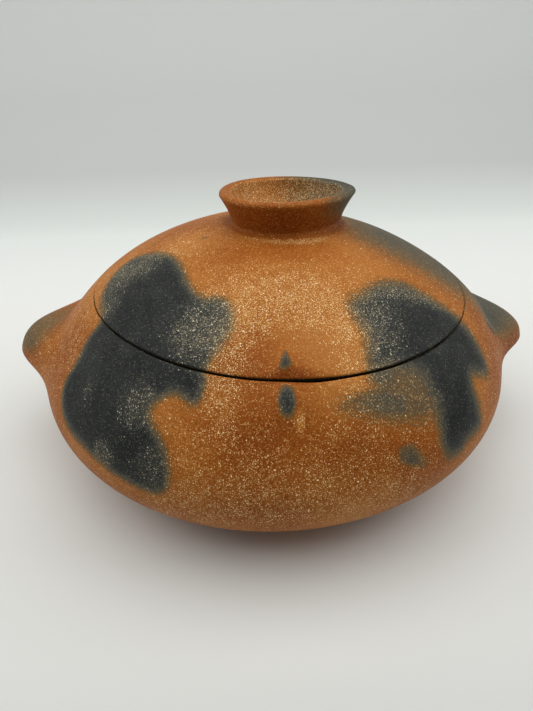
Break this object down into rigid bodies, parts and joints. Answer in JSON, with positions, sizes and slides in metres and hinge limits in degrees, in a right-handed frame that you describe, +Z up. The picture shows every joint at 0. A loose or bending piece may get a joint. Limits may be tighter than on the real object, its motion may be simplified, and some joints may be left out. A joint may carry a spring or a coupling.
{
  "type": "lidded bean pot",
  "caption": "Round-bellied micaceous clay bean pot with half-moon lugs and a flush domed lid cut from the same form, gripped by a flared ring knob and keyed by a small nub.",
  "frame": {"origin": "centre of the flat base, on the surface the pot stands on", "axes": "+Z up, along the lid's lift; +X through the two lugs; -Y towards the registration nub"},
  "size_m": [0.2812, 0.24, 0.1353],
  "materials": {
    "pot_clay": "unglazed micaceous clay, stone-burnished, orange with charcoal fire clouds",
    "lid_clay": "unglazed micaceous clay, stone-burnished, orange with charcoal fire clouds",
    "inner_clay": "unglazed micaceous clay, smoothed by hand, sooty brown"
  },
  "bodies": {
    "pot": {"bowl": "pot_clay", "lug_left": "pot_clay", "lug_right": "pot_clay", "lid_ledge": "inner_clay", "bowl_nub": "pot_clay"},
    "lid": {"lid": "lid_clay", "knob": "lid_clay", "lid_nub": "lid_clay"}
  },
  "joints": [
    {"name": "lid_lift", "type": "slide", "parent": "pot", "child": "lid", "axis": [0, 0, 1], "range_m": [0, 0.06]}
  ]
}
